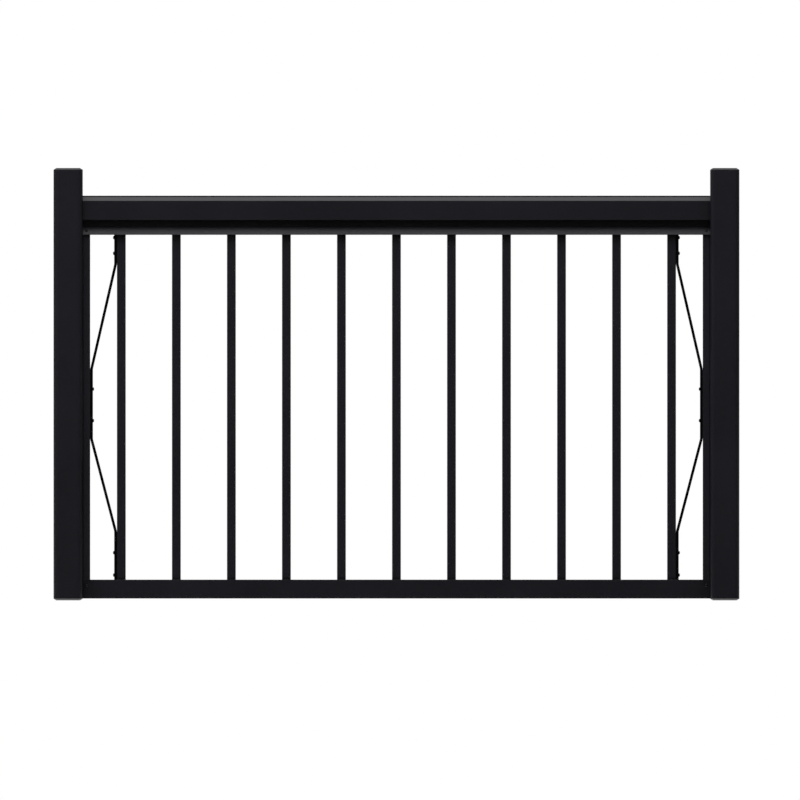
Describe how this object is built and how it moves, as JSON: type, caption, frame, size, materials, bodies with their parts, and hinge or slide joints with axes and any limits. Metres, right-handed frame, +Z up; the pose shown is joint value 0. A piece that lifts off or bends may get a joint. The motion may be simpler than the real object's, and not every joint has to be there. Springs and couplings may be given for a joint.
{
  "type": "aluminium railing gate",
  "caption": "Black railing gate leaf: square uprights with bevelled caps, grooved top rail, slim bottom rail, square balusters and bent flat-bar side braces.",
  "frame": {"origin": "middle of the lower edge of the left upright's outer flat face, where the hinges go", "axes": "+X across the leaf from the left upright to the right one, +Y from front to back, +Z up"},
  "size_m": [1.488, 0.0636, 0.938],
  "materials": {
    "frame_coating": "satin",
    "cap_plastic": "satin",
    "brace_coating": "matte"
  },
  "bodies": {
    "root": {"baluster_01": "frame_coating", "baluster_02": "frame_coating", "baluster_03": "frame_coating", "baluster_04": "frame_coating", "baluster_05": "frame_coating", "baluster_06": "frame_coating", "baluster_07": "frame_coating", "baluster_08": "frame_coating", "baluster_09": "frame_coating", "baluster_10": "frame_coating", "baluster_11": "frame_coating", "bottom_rail": "frame_coating", "left_bottom_cap": "cap_plastic", "left_brace": "brace_coating", "left_stile": "frame_coating", "left_top_cap": "cap_plastic", "left_upright": "frame_coating", "right_bottom_cap": "cap_plastic", "right_brace": "brace_coating", "right_stile": "frame_coating", "right_top_cap": "cap_plastic", "right_upright": "frame_coating", "top_rail_channel": "frame_coating", "top_rail_cover": "frame_coating"}
  },
  "joints": []
}
